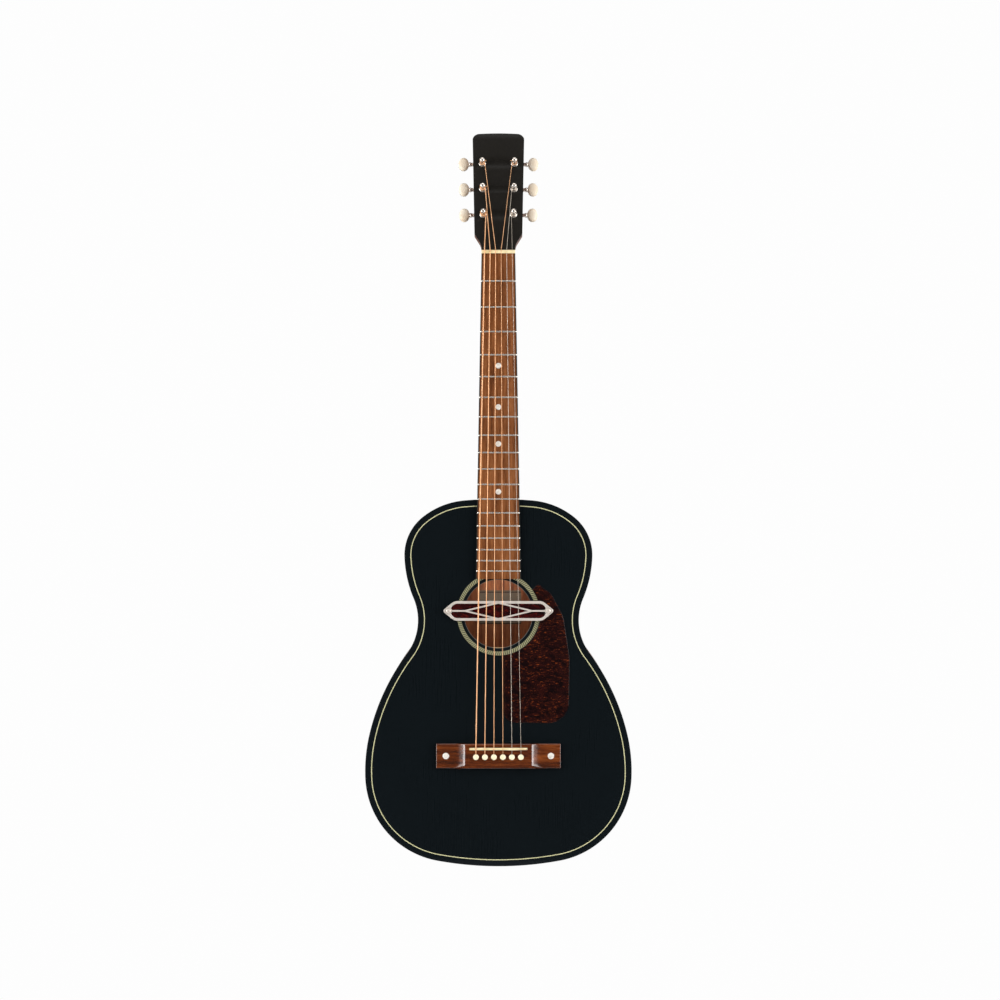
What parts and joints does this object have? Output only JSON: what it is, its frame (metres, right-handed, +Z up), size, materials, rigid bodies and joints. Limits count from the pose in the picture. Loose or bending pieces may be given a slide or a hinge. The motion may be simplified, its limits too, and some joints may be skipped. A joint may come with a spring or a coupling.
{
  "type": "acoustic guitar",
  "caption": "Small-bodied flat-top acoustic guitar with a round sound hole, slim bar pickup, tortoise pickguard, pinned bridge and open-gear tuners with oval buttons.",
  "frame": {"origin": "on the centreline at the nut's fretboard edge, in the soundboard's outer plane", "axes": "+Z up the neck towards the headstock, -Y out of the soundboard, +X towards the treble side"},
  "size_m": [0.3314, 0.1134, 0.9177],
  "materials": {
    "top": "satin black paint over spruce",
    "body_wood": "satin",
    "neck_wood": "satin",
    "lining_wood": "bare",
    "brace_wood": "bare",
    "inlay": "satin",
    "pickguard": "polished tortoise",
    "label": "matte",
    "rod_steel": "plain",
    "truss_nut": "plain",
    "walnut": "oiled",
    "fret_metal": "polished",
    "pearl": "pearly",
    "bone": "polished",
    "black_face": "satin black",
    "pin_plastic": "smooth",
    "bronze_string": "wound",
    "plain_string": "plain",
    "pickup_metal": "satin nickel",
    "pickup_case": "polished tortoise",
    "copper": "wound wire",
    "lead": "matte",
    "jack_metal": "nickel",
    "tuner_nickel": "nickel",
    "button": "polished",
    "gear_brass": "plain"
  },
  "bodies": {
    "guitar": {"top": "top", "back": "body_wood", "side_bass": "body_wood", "side_treble": "body_wood", "linings": "lining_wood", "neck_block": "lining_wood", "end_block": "lining_wood", "top_braces": "brace_wood", "back_braces": "brace_wood", "rosette": "inlay", "top_purfling": "inlay", "pickguard": "pickguard", "label": "label", "neck": "neck_wood", "truss_rod": "rod_steel", "fretboard": "walnut", "frets": "fret_metal", "pearl_dots": "pearl", "nut": "bone", "headstock_face": "black_face", "bridge": "walnut", "saddle": "bone", "bridge_pins": "pin_plastic", "bridge_bolts": "rod_steel", "strings_wound": "bronze_string", "strings_plain": "plain_string", "pickup_frame": "pickup_metal", "pickup_body": "pickup_case", "pickup_coil": "copper", "pickup_screws": "pickup_metal", "pickup_lead": "lead", "end_jack": "jack_metal", "tuner_plates": "tuner_nickel", "tuner_screws": "tuner_nickel", "post_bushings": "tuner_nickel"},
    "truss_nut": {"truss_nut": "truss_nut"},
    "tuner_button_1": {"knob_1": "button", "worm_shaft_1": "tuner_nickel"},
    "tuner_post_1": {"post_1": "tuner_nickel", "gear_1": "gear_brass"},
    "tuner_button_2": {"knob_2": "button", "worm_shaft_2": "tuner_nickel"},
    "tuner_post_2": {"post_2": "tuner_nickel", "gear_2": "gear_brass"},
    "tuner_button_3": {"knob_3": "button", "worm_shaft_3": "tuner_nickel"},
    "tuner_post_3": {"post_3": "tuner_nickel", "gear_3": "gear_brass"},
    "tuner_button_4": {"knob_4": "button", "worm_shaft_4": "tuner_nickel"},
    "tuner_post_4": {"post_4": "tuner_nickel", "gear_4": "gear_brass"},
    "tuner_button_5": {"knob_5": "button", "worm_shaft_5": "tuner_nickel"},
    "tuner_post_5": {"post_5": "tuner_nickel", "gear_5": "gear_brass"},
    "tuner_button_6": {"knob_6": "button", "worm_shaft_6": "tuner_nickel"},
    "tuner_post_6": {"post_6": "tuner_nickel", "gear_6": "gear_brass"}
  },
  "joints": [
    {"name": "button_turn_1", "type": "hinge", "parent": "guitar", "child": "tuner_button_1", "pos_m": [-0.0189, 0.0306, 0.0515], "axis": [1, 0, 0], "continuous": true},
    {"name": "post_turn_1", "type": "hinge", "parent": "guitar", "child": "tuner_post_1", "pos_m": [-0.0189, 0.02483, 0.04613], "axis": [0, 0.9703, -0.2419], "continuous": true},
    {"name": "button_turn_2", "type": "hinge", "parent": "guitar", "child": "tuner_button_2", "pos_m": [-0.0195, 0.03883, 0.08449], "axis": [1, 0, 0], "continuous": true},
    {"name": "post_turn_2", "type": "hinge", "parent": "guitar", "child": "tuner_post_2", "pos_m": [-0.0195, 0.03306, 0.07912], "axis": [0, 0.9703, -0.2419], "continuous": true},
    {"name": "button_turn_3", "type": "hinge", "parent": "guitar", "child": "tuner_button_3", "pos_m": [-0.0201, 0.04705, 0.11748], "axis": [1, 0, 0], "continuous": true},
    {"name": "post_turn_3", "type": "hinge", "parent": "guitar", "child": "tuner_post_3", "pos_m": [-0.0201, 0.04128, 0.11211], "axis": [0, 0.9703, -0.2419], "continuous": true},
    {"name": "button_turn_4", "type": "hinge", "parent": "guitar", "child": "tuner_button_4", "pos_m": [0.0201, 0.04705, 0.11748], "axis": [1, 0, 0], "continuous": true},
    {"name": "post_turn_4", "type": "hinge", "parent": "guitar", "child": "tuner_post_4", "pos_m": [0.0201, 0.04128, 0.11211], "axis": [0, 0.9703, -0.2419], "continuous": true},
    {"name": "button_turn_5", "type": "hinge", "parent": "guitar", "child": "tuner_button_5", "pos_m": [0.0195, 0.03883, 0.08449], "axis": [1, 0, 0], "continuous": true},
    {"name": "post_turn_5", "type": "hinge", "parent": "guitar", "child": "tuner_post_5", "pos_m": [0.0195, 0.03306, 0.07912], "axis": [0, 0.9703, -0.2419], "continuous": true},
    {"name": "button_turn_6", "type": "hinge", "parent": "guitar", "child": "tuner_button_6", "pos_m": [0.0189, 0.0306, 0.0515], "axis": [1, 0, 0], "continuous": true},
    {"name": "post_turn_6", "type": "hinge", "parent": "guitar", "child": "tuner_post_6", "pos_m": [0.0189, 0.02483, 0.04613], "axis": [0, 0.9703, -0.2419], "continuous": true},
    {"name": "truss_nut_turn", "type": "hinge", "parent": "guitar", "child": "truss_nut", "pos_m": [0, 0.0065, -0.3543], "axis": [0, 0, 1], "range_deg": [-180, 180]}
  ],
  "couplings": [
    {"joint": "post_turn_1", "follows": "button_turn_1", "ratio": -0.071429},
    {"joint": "post_turn_2", "follows": "button_turn_2", "ratio": -0.071429},
    {"joint": "post_turn_3", "follows": "button_turn_3", "ratio": -0.071429},
    {"joint": "post_turn_4", "follows": "button_turn_4", "ratio": -0.071429},
    {"joint": "post_turn_5", "follows": "button_turn_5", "ratio": -0.071429},
    {"joint": "post_turn_6", "follows": "button_turn_6", "ratio": -0.071429}
  ]
}
